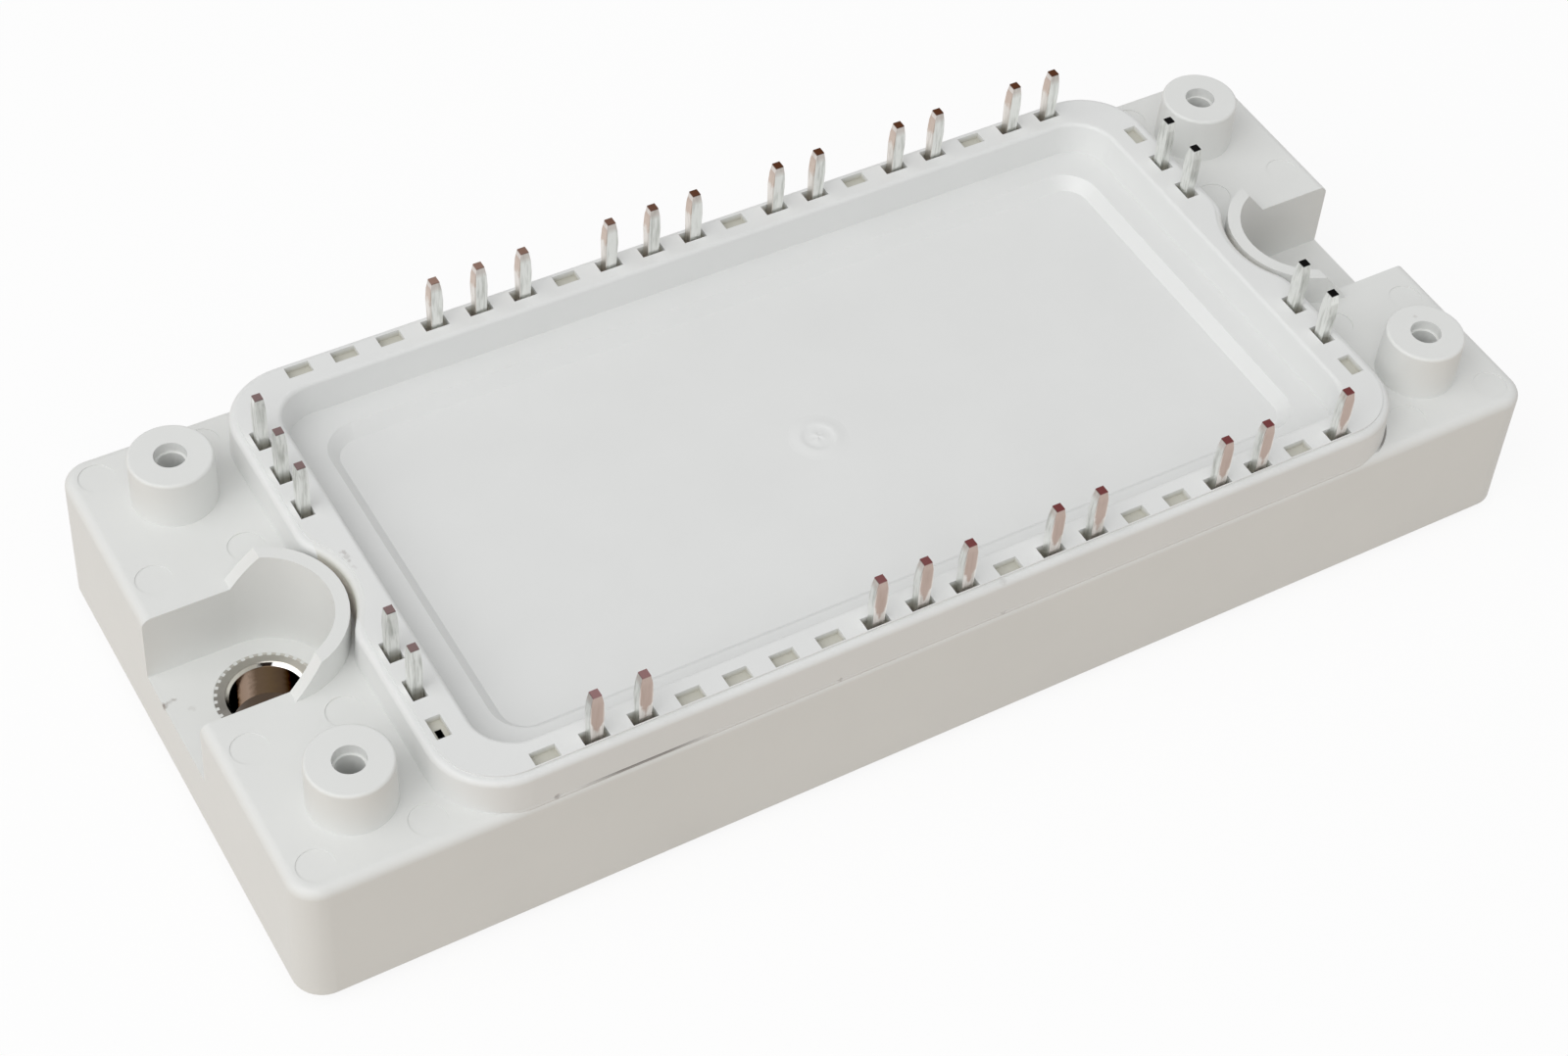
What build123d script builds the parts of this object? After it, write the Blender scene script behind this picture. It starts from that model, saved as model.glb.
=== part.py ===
from build123d import *
from math import radians, tan
import os

os.makedirs("parts", exist_ok=True)

# IGBT power module in a flat white housing, in millimetres.
# Origin: middle of the base plate's underside, X along the long side, Z up.

# Housing frame
frame_length = 107.5
frame_width = 45.0
frame_top = 12.7
frame_lift = 0.8
frame_corner_radius = 2.4
frame_edge_radius = 0.8
frame_draft = 1.0

# Base plate, let into the underside of the frame
plate_rim = 1.5
plate_thickness = 3.0
plate_corner_radius = 2.0
plate_edge_chamfer = 0.3
plate_clearance = 0.1

# Screw recess in each end, with its raised horseshoe wall
fixing_inset = 7.25
fixing_hole = 5.6
recess_radius = 5.35
floor_thickness = 3.4
collar_thickness = 1.05
collar_rise = 2.8
collar_ramp_foot = 0.2
collar_ramp_run = 2.3

# Knurled steel bush in the floor of each recess
bush_root_radius = 3.65
bush_tooth_height = 0.25
bush_tooth_width = 0.34
bush_teeth = 36
bush_lip = 0.3
bush_clearance = 0.03

# Four posts that carry the circuit board
post_inset_x = 7.1
post_inset_y = 6.7
post_rise = 4.3
post_top_diameter = 6.4
post_draft = 1.0
post_hole = 2.15
post_hole_mouth = 2.5
post_mouth_depth = 0.9
post_hole_depth = 10.0
post_edge_radius = 0.25

# Round marks of the mould's ejectors on the end blocks
ejector_diameter = 2.8
ejector_depth = 0.08
ejector_outer_inset = 2.55
ejector_inner_inset = 9.75
ejector_near_y = 8.7
ejector_far_inset = 2.6
ejector_corner_inset = 10.9

# Lid: rim with the terminal slots around a stepped tray
end_block = 12.25
lid_setback = 0.3
lid_corner_radius = 5.6
lid_rise = 3.2
lid_draft = 3.5
lid_edge_radius = 0.5
border_step = 0.15
border_width = 0.6
collar_gap = 0.3
notch_shoulder = 3.4
side_rim = 3.2
end_rim = 3.85
tray_corner_radius = 3.4
tray_wall_depth = 2.8
tray_wall_draft = 8.0
shelf_width = 2.2
shelf_corner_radius = 2.9
panel_depth = 1.0
panel_edge_angle = 42.0
tray_edge_radius = 0.35
lip_depth = 1.9
lip_clearance = 0.1

# Terminal slots, on one grid; the filled ones are counted from the middle
pitch = 3.81
row_inset = 1.45
column_inset = 1.75
corner_clear = 4.0
slot_length = 2.0
slot_width = 1.15
blind_depth = 0.6
roof_thickness = 1.5
channel_width = 1.3
channel_margin = 0.3
back_row = (-6, -5, -4, -2, -1, 0, 2, 3, 5, 6, 8, 9)
front_row = (-8, -7, -2, -1, 0, 2, 3, 6, 7, 9)
end_columns = (2, 3, 4)
left_column = (4, 3, 2, -2, -3)
right_column = (3, 2, -2, -3)
vent_length = 1.2
vent_width = 0.5

# Terminals
pin_rise = 4.6
terminal_thickness = 0.8
terminal_width = 1.15
terminal_neck = 0.98
terminal_tip = 0.66
terminal_taper = 0.9
terminal_foot = 3.0
terminal_clearance = 0.05
neck_rise = 0.4

# Hollow of the frame: a lower well for the substrates, a wider one for the feet
ledge_rise = 3.8
ledge_width = 1.8
groove_depth = 1.8
well_corner_radius = 1.5
upper_corner_radius = 2.0

# Two soldered substrates with six switches and six diodes
solder_thickness = 0.2
copper_thickness = 0.3
ceramic_thickness = 0.4
ceramic_inset = 1.4
ceramic_gap = 1.4
ceramic_margin = 0.6
track_gap = 0.9
rail_width = 3.0
legs_per_substrate = 3
chip_thickness = 0.2
chip_margin = 0.8
diode_size = 6.0
chip_offset = 5.4
thermistor_length = 2.0
thermistor_width = 1.2
thermistor_height = 0.8
thermistor_index = -3

# Aluminium ribbons that join the chips, the tracks and the terminals
ribbon_width = 1.0
ribbon_thickness = 0.2
ribbon_land = 0.6
ribbon_rise = 0.7
gel_cover = 1.3

# Places in the plan
plate_length = frame_length - 2 * plate_rim
plate_width = frame_width - 2 * plate_rim
fixing_x = frame_length / 2 - fixing_inset
fixings = [(-fixing_x, 0), (fixing_x, 0)]
post_spacing_x = frame_length - 2 * post_inset_x
post_spacing_y = frame_width - 2 * post_inset_y
collar_radius = recess_radius + collar_thickness
bush_radius = bush_root_radius + bush_tooth_height
lid_length = frame_length - 2 * end_block
lid_width = frame_width - 2 * lid_setback
row_y = lid_width / 2 - row_inset
column_x = lid_length / 2 - column_inset
upper_length = 2 * (column_x + terminal_thickness / 2 - groove_depth)
upper_width = 2 * (row_y + terminal_thickness / 2 - groove_depth)
well_length = upper_length - 2 * ledge_width
well_width = upper_width - 2 * ledge_width

# Heights
recess_floor = plate_thickness + floor_thickness
ledge_height = plate_thickness + ledge_rise
foot_top = ledge_height + terminal_thickness
gel_top = foot_top + gel_cover
collar_top = frame_top + collar_rise
post_top = frame_top + post_rise
lid_top = frame_top + lid_rise
border_top = lid_top - border_step
shelf_height = lid_top - tray_wall_depth
terminal_top = lid_top + pin_rise
track_top = plate_thickness + solder_thickness + 2 * copper_thickness + ceramic_thickness
chip_top = track_top + chip_thickness

# Tray
tray_length = lid_length - 2 * end_rim
tray_width = lid_width - 2 * side_rim
shelf_inset = tray_wall_depth * tan(radians(tray_wall_draft)) + shelf_width
shelf_inner_length = tray_length - 2 * shelf_inset
shelf_inner_width = tray_width - 2 * shelf_inset

# Slots with and without a terminal
row_reach = int((column_x - corner_clear) / pitch)
row_steps = range(-row_reach, row_reach + 1)
end_steps = [side * i for side in (1, -1) for i in end_columns]
back_spots = [(i * pitch, row_y) for i in back_row if i in row_steps]
front_spots = [(i * pitch, -row_y) for i in front_row if i in row_steps]
left_spots = [(-column_x, i * pitch) for i in left_column]
right_spots = [(column_x, i * pitch) for i in right_column]
blind_slots = [(i * pitch, row_y) for i in row_steps if i not in back_row]
blind_slots += [(i * pitch, -row_y) for i in row_steps if i not in front_row]
blind_ends = [(-column_x, i * pitch) for i in end_steps if i not in left_column]
blind_ends += [(column_x, i * pitch) for i in end_steps if i not in right_column]
vent = (-column_x, -end_columns[-1] * pitch - (slot_length - vent_length) / 2)

# Substrates
ceramic_width = well_width - 2 * ceramic_inset
ceramic_length = (well_length - ceramic_gap) / 2 - ceramic_inset
substrate_width = ceramic_width - 2 * ceramic_margin
substrate_length = ceramic_length - 2 * ceramic_margin
substrate_x = (ceramic_length + ceramic_gap) / 2
inner_length = substrate_length - rail_width - track_gap
leg_pitch = (inner_length + track_gap) / legs_per_substrate
leg_width = leg_pitch - track_gap
leg_length = substrate_width - 2 * rail_width - 2 * track_gap
legs_x = substrate_x - (rail_width + track_gap) / 2
end_rail_x = substrate_x + (substrate_length - rail_width) / 2
rail_y = (substrate_width - rail_width) / 2
igbt_size = leg_width - 2 * chip_margin


def lid_outline(inset):
    """Outline of the lid, moved inwards by inset: a round-cornered rectangle
    with a hollow in each end that clears the horseshoe wall."""
    with BuildSketch() as outline:
        RectangleRounded(lid_length - 2 * inset, lid_width - 2 * inset, lid_corner_radius - inset)
        with Locations(*fixings):
            Circle(collar_radius + collar_gap + inset, mode=Mode.SUBTRACT)
        shoulders = outline.vertices().filter_by(lambda v: abs(v.Y) < collar_radius)
        fillet(shoulders, notch_shoulder)
    return outline.sketch


# Base plate of nickel-plated copper, clear through for the two fixing screws
with BuildPart() as base_plate:
    with BuildSketch():
        RectangleRounded(plate_length, plate_width, plate_corner_radius)
        with Locations(*fixings):
            Circle(fixing_hole / 2, mode=Mode.SUBTRACT)
    extrude(amount=plate_thickness)
    chamfer(base_plate.edges().group_by(Axis.Z)[0], plate_edge_chamfer)

# Housing frame: one moulding with the end blocks, posts and horseshoe walls
with BuildPart() as housing_frame:
    with BuildSketch(Plane.XY.offset(frame_lift)):
        RectangleRounded(frame_length, frame_width, frame_corner_radius)
    extrude(amount=frame_top - frame_lift, taper=frame_draft)
    fillet(housing_frame.edges().group_by(Axis.Z)[-1], frame_edge_radius)
    # Ejector marks, before the posts stand on the same face
    with BuildSketch(Plane.XY.offset(frame_top)):
        for inset in (ejector_outer_inset, ejector_inner_inset):
            with GridLocations(frame_length - 2 * inset, 2 * ejector_near_y, 2, 2):
                Circle(ejector_diameter / 2)
        for inset in (ejector_outer_inset, ejector_corner_inset):
            with GridLocations(frame_length - 2 * inset, frame_width - 2 * ejector_far_inset, 2, 2):
                Circle(ejector_diameter / 2)
    extrude(amount=-ejector_depth, mode=Mode.SUBTRACT)
    # Horseshoe walls, sloped down to the blocks on the outer side
    with BuildSketch(Plane.XY.offset(frame_top)):
        with Locations(*fixings):
            Circle(collar_radius)
    extrude(amount=collar_top - frame_top)
    with BuildSketch(Plane.XZ):
        for side in (-1, 1):
            foot_x = side * (fixing_x + collar_ramp_foot)
            head_x = foot_x - side * collar_ramp_run
            far_x = side * frame_length / 2
            Polygon((foot_x, frame_top), (head_x, collar_top), (far_x, collar_top), (far_x, frame_top), align=None)
    extrude(amount=collar_radius, both=True, mode=Mode.SUBTRACT)
    # Screw recesses, open to the ends
    with BuildSketch(Plane.XY.offset(recess_floor)):
        with Locations(*fixings):
            Circle(recess_radius)
        for side in (-1, 1):
            with Locations((side * (fixing_x + frame_length / 4), 0)):
                Rectangle(frame_length / 2, 2 * recess_radius)
    extrude(amount=collar_top - recess_floor, mode=Mode.SUBTRACT)
    # Posts with their stepped screw holes
    with BuildSketch(Plane.XY.offset(post_top)):
        with GridLocations(post_spacing_x, post_spacing_y, 2, 2):
            Circle(post_top_diameter / 2)
    extrude(amount=frame_top - post_top, taper=-post_draft)
    fillet(housing_frame.edges().group_by(Axis.Z)[-1], post_edge_radius)
    with BuildSketch(Plane.XY.offset(post_top)):
        with GridLocations(post_spacing_x, post_spacing_y, 2, 2):
            Circle(post_hole / 2)
    extrude(amount=-post_hole_depth, mode=Mode.SUBTRACT)
    with BuildSketch(Plane.XY.offset(post_top)):
        with GridLocations(post_spacing_x, post_spacing_y, 2, 2):
            Circle(post_hole_mouth / 2)
    extrude(amount=-post_mouth_depth, mode=Mode.SUBTRACT)
    # Seat of the base plate
    with BuildSketch():
        RectangleRounded(
            plate_length + 2 * plate_clearance, plate_width + 2 * plate_clearance, plate_corner_radius
        )
    extrude(amount=plate_thickness, mode=Mode.SUBTRACT)
    # Holes for the bushes
    with BuildSketch(Plane.XY.offset(plate_thickness)):
        with Locations(*fixings):
            Circle(bush_radius + bush_clearance)
    extrude(amount=recess_floor - plate_thickness, mode=Mode.SUBTRACT)
    # Well, and the wider space above its ledge
    with BuildSketch(Plane.XY.offset(plate_thickness)):
        RectangleRounded(well_length, well_width, well_corner_radius)
    extrude(amount=frame_top - plate_thickness, mode=Mode.SUBTRACT)
    with BuildSketch(Plane.XY.offset(ledge_height)):
        RectangleRounded(upper_length, upper_width, upper_corner_radius)
    extrude(amount=frame_top - ledge_height, mode=Mode.SUBTRACT)
    # Grooves that hold the terminals upright
    groove_width = terminal_width + 2 * terminal_clearance
    groove_length = groove_depth + terminal_clearance
    with BuildSketch(Plane.XY.offset(ledge_height)):
        for x, y in back_spots + front_spots:
            side = 1 if y > 0 else -1
            with Locations((x, side * (upper_width + groove_length) / 2)):
                Rectangle(groove_width, groove_length)
        for x, y in left_spots + right_spots + [vent]:
            side = 1 if x > 0 else -1
            with Locations((side * (upper_length + groove_length) / 2, y)):
                Rectangle(groove_length, groove_width)
    extrude(amount=frame_top - ledge_height, mode=Mode.SUBTRACT)

# Lid: one moulding, its rim on the frame and its tray inside the terminals
with BuildPart() as lid:
    with BuildSketch(Plane.XY.offset(frame_top)):
        add(lid_outline(0))
    extrude(amount=border_top - frame_top, taper=lid_draft)
    fillet(lid.edges().group_by(Axis.Z)[-1], lid_edge_radius)
    with BuildSketch(Plane.XY.offset(border_top)):
        add(lid_outline((border_top - frame_top) * tan(radians(lid_draft)) + border_width))
    extrude(amount=border_step)
    # Underside of the tray and the lip that centres it in the frame
    with BuildSketch(Plane.XY.offset(frame_top)):
        RectangleRounded(
            upper_length - 2 * lip_clearance, upper_width - 2 * lip_clearance, upper_corner_radius - lip_clearance
        )
    extrude(amount=-lip_depth)
    # Tray: a steep wall, a shelf, then a sloped step down to the panel
    with BuildSketch(Plane.XY.offset(lid_top)):
        RectangleRounded(tray_length, tray_width, tray_corner_radius)
    extrude(amount=-tray_wall_depth, taper=tray_wall_draft, mode=Mode.SUBTRACT)
    tray_rim = lid.faces().sort_by(Axis.Z)[-1].inner_wires()[0]
    fillet(tray_rim.edges(), tray_edge_radius)
    with BuildSketch(Plane.XY.offset(shelf_height)):
        RectangleRounded(shelf_inner_length, shelf_inner_width, shelf_corner_radius)
    extrude(amount=-panel_depth, taper=panel_edge_angle, mode=Mode.SUBTRACT)
    # Channels under the rim, over the terminals
    channel_height = lid_top - roof_thickness - frame_top
    with BuildSketch(Plane.XY.offset(frame_top)):
        for side in (-1, 1):
            with Locations((0, side * row_y)):
                Rectangle(2 * row_reach * pitch + slot_length + 2 * channel_margin, channel_width)
        end_middle = (end_columns[0] + end_columns[-1]) / 2 * pitch
        end_reach = (end_columns[-1] - end_columns[0]) * pitch
        with GridLocations(2 * column_x, 2 * end_middle, 2, 2):
            Rectangle(channel_width, end_reach + slot_length + 2 * channel_margin)
    extrude(amount=channel_height, mode=Mode.SUBTRACT)
    # Slots: open where a terminal comes through, shallow where none does
    with BuildSketch(Plane.XY.offset(lid_top)):
        with Locations(*back_spots, *front_spots):
            Rectangle(slot_length, slot_width)
        with Locations(*left_spots, *right_spots):
            Rectangle(slot_width, slot_length)
        with Locations(vent):
            Rectangle(vent_width, vent_length)
    extrude(amount=-roof_thickness, mode=Mode.SUBTRACT)
    with BuildSketch(Plane.XY.offset(lid_top)):
        with Locations(*blind_slots):
            Rectangle(slot_length, slot_width)
        with Locations(*blind_ends):
            Rectangle(slot_width, slot_length)
    extrude(amount=-blind_depth, mode=Mode.SUBTRACT)

# Knurled bushes, seated on the base plate and level with the recess floor
bushes = []
for name, x in (("bush_left", -fixing_x), ("bush_right", fixing_x)):
    with BuildPart() as bush:
        with BuildSketch(Plane.XY.offset(plate_thickness)):
            with Locations((x, 0)):
                Circle(bush_root_radius)
                with PolarLocations(bush_root_radius, bush_teeth):
                    Rectangle(2 * bush_tooth_height, bush_tooth_width)
                Circle(fixing_hole / 2, mode=Mode.SUBTRACT)
        extrude(amount=recess_floor - plate_thickness)
        mouth = bush.edges().filter_by(GeomType.CIRCLE).group_by(Axis.Z)[-1].sort_by(SortBy.RADIUS)[0]
        chamfer(mouth, bush_lip)
    bush.part.label = name
    bushes.append(bush.part)

# Terminals: bent blanks with a foot on the ledge and a slightly bulged pin
terminals = []
places = [("terminal_back_%d", back_spots, (0, 1)), ("terminal_front_%d", front_spots, (0, -1))]
places += [("terminal_left_%d", left_spots, (-1, 0)), ("terminal_right_%d", right_spots, (1, 0))]
half = terminal_thickness / 2
neck_height = lid_top + neck_rise
bulge_height = (neck_height + terminal_top) / 2
for name, spots, (out_x, out_y) in places:
    for number, (x, y) in enumerate(spots, 1):
        side_view = Plane(origin=(x, y, 0), x_dir=(out_x, out_y, 0), z_dir=(out_y, -out_x, 0))
        front_view = Plane(origin=(x, y, 0), x_dir=(out_y, -out_x, 0), z_dir=(-out_x, -out_y, 0))
        with BuildPart() as terminal:
            with BuildSketch(side_view):
                Polygon(
                    (half, ledge_height),
                    (half, terminal_top - terminal_taper),
                    (terminal_tip / 2, terminal_top),
                    (-terminal_tip / 2, terminal_top),
                    (-half, terminal_top - terminal_taper),
                    (-half, foot_top),
                    (half - terminal_foot, foot_top),
                    (half - terminal_foot, ledge_height),
                    align=None,
                )
            extrude(amount=terminal_width / 2, both=True)
            with BuildSketch(front_view):
                Polygon(
                    (terminal_width / 2, ledge_height),
                    (terminal_width / 2, foot_top),
                    (terminal_neck / 2, neck_height),
                    (terminal_width / 2, bulge_height),
                    (terminal_neck / 2, terminal_top - terminal_taper),
                    (terminal_tip / 2, terminal_top),
                    (-terminal_tip / 2, terminal_top),
                    (-terminal_neck / 2, terminal_top - terminal_taper),
                    (-terminal_width / 2, bulge_height),
                    (-terminal_neck / 2, neck_height),
                    (-terminal_width / 2, foot_top),
                    (-terminal_width / 2, ledge_height),
                    align=None,
                )
            extrude(amount=terminal_foot, both=True, mode=Mode.INTERSECT)
        terminal.part.label = name % number
        terminals.append(terminal.part)

# Substrates: solder, copper, ceramic and the tracks on top
substrates = []
for side_name, side in (("left", -1), ("right", 1)):
    with BuildPart() as solder:
        with BuildSketch(Plane.XY.offset(plate_thickness)):
            with Locations((side * substrate_x, 0)):
                Rectangle(substrate_length, substrate_width)
        extrude(amount=solder_thickness)
    with BuildPart() as lower_copper:
        with BuildSketch(Plane.XY.offset(plate_thickness + solder_thickness)):
            with Locations((side * substrate_x, 0)):
                Rectangle(substrate_length, substrate_width)
        extrude(amount=copper_thickness)
    with BuildPart() as ceramic:
        with BuildSketch(Plane.XY.offset(track_top - copper_thickness - ceramic_thickness)):
            with Locations((side * substrate_x, 0)):
                Rectangle(ceramic_length, ceramic_width)
        extrude(amount=ceramic_thickness)
    with BuildPart() as tracks:
        with BuildSketch(Plane.XY.offset(track_top - copper_thickness)):
            with Locations((side * substrate_x, rail_y), (side * substrate_x, -rail_y)):
                Rectangle(substrate_length, rail_width)
            with Locations((side * end_rail_x, 0)):
                Rectangle(rail_width, leg_length)
            with Locations((side * legs_x, 0)):
                with GridLocations(leg_pitch, 0, legs_per_substrate, 1):
                    Rectangle(leg_width, leg_length)
        extrude(amount=copper_thickness)
    with BuildPart() as igbts:
        with BuildSketch(Plane.XY.offset(track_top)):
            with Locations((side * legs_x, chip_offset)):
                with GridLocations(leg_pitch, 0, legs_per_substrate, 1):
                    Rectangle(igbt_size, igbt_size)
        extrude(amount=chip_thickness)
    with BuildPart() as diodes:
        with BuildSketch(Plane.XY.offset(track_top)):
            with Locations((side * legs_x, -chip_offset)):
                with GridLocations(leg_pitch, 0, legs_per_substrate, 1):
                    Rectangle(diode_size, diode_size)
        extrude(amount=chip_thickness)
    solder.part.label = "substrate_solder_" + side_name
    lower_copper.part.label = "substrate_copper_" + side_name
    ceramic.part.label = "substrate_ceramic_" + side_name
    tracks.part.label = "substrate_tracks_" + side_name
    igbts.part.label = "igbt_chips_" + side_name
    diodes.part.label = "diode_chips_" + side_name
    substrates += [solder.part, lower_copper.part, ceramic.part, tracks.part, igbts.part, diodes.part]

# Thermistor on the back rail, under a slot without a terminal
with BuildPart() as thermistor:
    with BuildSketch(Plane.XY.offset(track_top)):
        with Locations((thermistor_index * pitch, rail_y)):
            Rectangle(thermistor_length, thermistor_width)
    extrude(amount=thermistor_height)
thermistor.part.label = "thermistor"


def ribbon(plane, start, start_z, end, end_z):
    """Side view of a bent ribbon in the given upright plane, from a land that
    begins at start and height start_z to one that ends at end and end_z."""
    turn = 1 if end > start else -1
    middle = (start + end) / 2
    peak = max(start_z, end_z) + ribbon_rise
    first = start + turn * ribbon_land
    last = end - turn * ribbon_land
    with BuildSketch(plane) as side_view:
        Polygon(
            (start, start_z),
            (first, start_z),
            (middle, peak),
            (last, end_z),
            (end, end_z),
            (end, end_z + ribbon_thickness),
            (last, end_z + ribbon_thickness),
            (middle, peak + 1.3 * ribbon_thickness),
            (first, start_z + ribbon_thickness),
            (start, start_z + ribbon_thickness),
            align=None,
        )
    return side_view.sketch


# Ribbons from each switch over its diode to the front rail
leg_steps = [(i - (legs_per_substrate - 1) / 2) * leg_pitch for i in range(legs_per_substrate)]
leg_centres = [side * legs_x + step for side in (-1, 1) for step in leg_steps]
with BuildPart() as chip_ribbons:
    for x in leg_centres:
        upright = Plane.YZ.offset(x)
        over_diode = ribbon(upright, chip_offset - igbt_size / 4, chip_top, -chip_offset + diode_size / 4, chip_top)
        to_rail = ribbon(upright, -chip_offset - diode_size / 4, chip_top, -rail_y, track_top)
        extrude(over_diode, amount=ribbon_width / 2, both=True)
        extrude(to_rail, amount=ribbon_width / 2, both=True)
chip_ribbons.part.label = "chip_ribbons"

# Ribbons from the terminals' feet to the rails
foot_y = row_y + half - terminal_foot
foot_x = column_x + half - terminal_foot
with BuildPart() as terminal_ribbons:
    for x, y in back_spots + front_spots:
        side = 1 if y > 0 else -1
        bend = ribbon(Plane.YZ.offset(x), side * (foot_y + ribbon_land), foot_top, side * rail_y, track_top)
        extrude(bend, amount=ribbon_width / 2, both=True)
    for x, y in left_spots + right_spots:
        side = 1 if x > 0 else -1
        upright = Plane(origin=(0, y, 0), x_dir=(1, 0, 0), z_dir=(0, -1, 0))
        bend = ribbon(upright, side * (foot_x + ribbon_land), foot_top, side * end_rail_x, track_top)
        extrude(bend, amount=ribbon_width / 2, both=True)
terminal_ribbons.part.label = "terminal_ribbons"

# Silicone gel poured over everything in the well
with BuildPart() as gel:
    with BuildSketch(Plane.XY.offset(plate_thickness)):
        RectangleRounded(well_length, well_width, well_corner_radius)
    extrude(amount=gel_top - plate_thickness)
    with BuildSketch(Plane.XY.offset(ledge_height)):
        RectangleRounded(upper_length, upper_width, upper_corner_radius)
    extrude(amount=gel_top - ledge_height)
    add(substrates, mode=Mode.SUBTRACT)
    add(thermistor.part, mode=Mode.SUBTRACT)
    add(chip_ribbons.part, mode=Mode.SUBTRACT)
    add(terminal_ribbons.part, mode=Mode.SUBTRACT)
    add(terminals, mode=Mode.SUBTRACT)
gel.part.label = "silicone_gel"

base_plate.part.label = "base_plate"
housing_frame.part.label = "housing_frame"
lid.part.label = "lid"

pieces = [base_plate.part, housing_frame.part, lid.part, thermistor.part, chip_ribbons.part]
pieces += [terminal_ribbons.part, gel.part]
for piece in pieces + bushes + terminals + substrates:
    export_step(piece, "parts/" + piece.label + ".step")
print("pieces", len(pieces + bushes + terminals + substrates))
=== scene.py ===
# %% [markdown]
# # A white power module, dressed around its CAD model
# The object is an IGBT power module: a flat box of white plastic with rows of
# tinned pins, two screw recesses with knurled bushes and four posts for a
# circuit board. Its shapes come from the CAD model, which is loaded here as a
# fixed frame in metres. This file adds the camera, the light, the floor, the
# finishes and the small marks that a CAD model leaves out.

import bmesh
import bpy
import numpy as np
from mathutils import Matrix, Vector


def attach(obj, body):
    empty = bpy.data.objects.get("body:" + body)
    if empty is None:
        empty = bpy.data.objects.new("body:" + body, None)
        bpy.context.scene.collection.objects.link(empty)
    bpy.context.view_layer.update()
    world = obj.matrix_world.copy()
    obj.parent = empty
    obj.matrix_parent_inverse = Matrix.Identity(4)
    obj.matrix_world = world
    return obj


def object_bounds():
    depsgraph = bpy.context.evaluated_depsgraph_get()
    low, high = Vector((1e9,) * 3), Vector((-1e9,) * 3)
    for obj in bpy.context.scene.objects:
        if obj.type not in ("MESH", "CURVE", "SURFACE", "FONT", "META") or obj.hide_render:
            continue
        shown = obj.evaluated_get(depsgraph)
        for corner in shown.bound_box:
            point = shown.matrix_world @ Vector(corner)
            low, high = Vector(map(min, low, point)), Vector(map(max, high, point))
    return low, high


MM = 0.001

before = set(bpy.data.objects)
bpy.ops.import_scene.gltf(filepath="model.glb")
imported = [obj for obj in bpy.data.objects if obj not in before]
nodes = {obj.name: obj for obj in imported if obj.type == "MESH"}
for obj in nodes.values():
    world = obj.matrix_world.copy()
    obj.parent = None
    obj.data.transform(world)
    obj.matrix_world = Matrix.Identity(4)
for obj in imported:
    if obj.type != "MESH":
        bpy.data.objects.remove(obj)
cad_low, cad_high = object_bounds()
scene = bpy.context.scene
print("CAD nodes", len(nodes), "box", tuple(cad_low), tuple(cad_high))


# %% [markdown]
# ## Places on the module
# A few heights and distances of the model come back again and again below, in
# the finishes that change with place and in the small marks. They are the same
# numbers as in the CAD source, in metres.

# %% Heights and distances
frame_top = 12.7 * MM
lid_top = 15.9 * MM
panel_height = 12.1 * MM
pitch = 3.81 * MM
row_y = 20.75 * MM
column_x = 39.75 * MM
bush_x = 46.5 * MM
recess_floor = 6.4 * MM
lid_corner = (35.9 * MM, -16.6 * MM, 0.0)
lid_corner_radius = 5.6 * MM
tip_height = cad_high.z
print("lid", lid_top, "tips", tip_height)


# %% [markdown]
# ## The camera
# The photograph was taken with a long lens from above the front left corner.
# The pins stand on a grid of 3.81 mm, so their places in the picture give the
# camera's place, turn and focal length by least squares. The three directions
# below are its right, up and backward axes in the object's frame, which are the
# columns of a rotation matrix. The shift is what remains of the picture's
# framing.

# %% Camera
camera_data = bpy.data.cameras.new("camera")
camera_data.sensor_width = 36.0
camera_data.lens = 70.2135
camera_data.shift_x = -0.032519
camera_data.shift_y = -0.0092712
camera_data.clip_start = 0.01
camera_data.clip_end = 10.0
camera = bpy.data.objects.new("camera", camera_data)
scene.collection.objects.link(camera)
scene.camera = camera
camera_right = (0.85972686, -0.5054712, 0.07327067)
camera_up = (0.33479308, 0.66605032, 0.66655124)
camera_back = (-0.38572441, -0.54852149, 0.74184961)
turn = Matrix((camera_right, camera_up, camera_back)).transposed().to_4x4()
camera.matrix_world = Matrix.Translation(Vector((-92.89, -135.47, 184.93)) * MM) @ turn
print("camera", tuple(round(v, 4) for v in camera.matrix_world.translation), "lens", camera_data.lens)


# %% [markdown]
# ## Colours and nodes
# Colours are picked as sRGB hex values, as in any paint program, but Blender's
# shaders work in linear light, so one function turns one into the other.
# Materials are built from nodes, and one small function adds a node, sets its
# properties and fills its inputs with values or links.

# %% Helpers for materials
def linear(hex_colour):
    """Linear RGBA of an sRGB hex colour: below 0.04045 a value is divided by
    12.92, above it is ((v + 0.055) / 1.055) to the power 2.4."""
    value = np.array([int(hex_colour[i : i + 2], 16) for i in (1, 3, 5)]) / 255
    rgb = np.where(value <= 0.04045, value / 12.92, ((value + 0.055) / 1.055) ** 2.4)
    return (*rgb.tolist(), 1.0)


def add_node(tree, kind, inputs=None, **settings):
    """Adds one node. Settings are its properties. Inputs are given by name or
    number, each a plain value or the output socket that is linked to it."""
    node = tree.nodes.new(kind)
    for key, value in settings.items():
        setattr(node, key, value)
    for key, value in (inputs or {}).items():
        if isinstance(value, bpy.types.NodeSocket):
            tree.links.new(value, node.inputs[key])
        else:
            node.inputs[key].default_value = value
    return node


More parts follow.
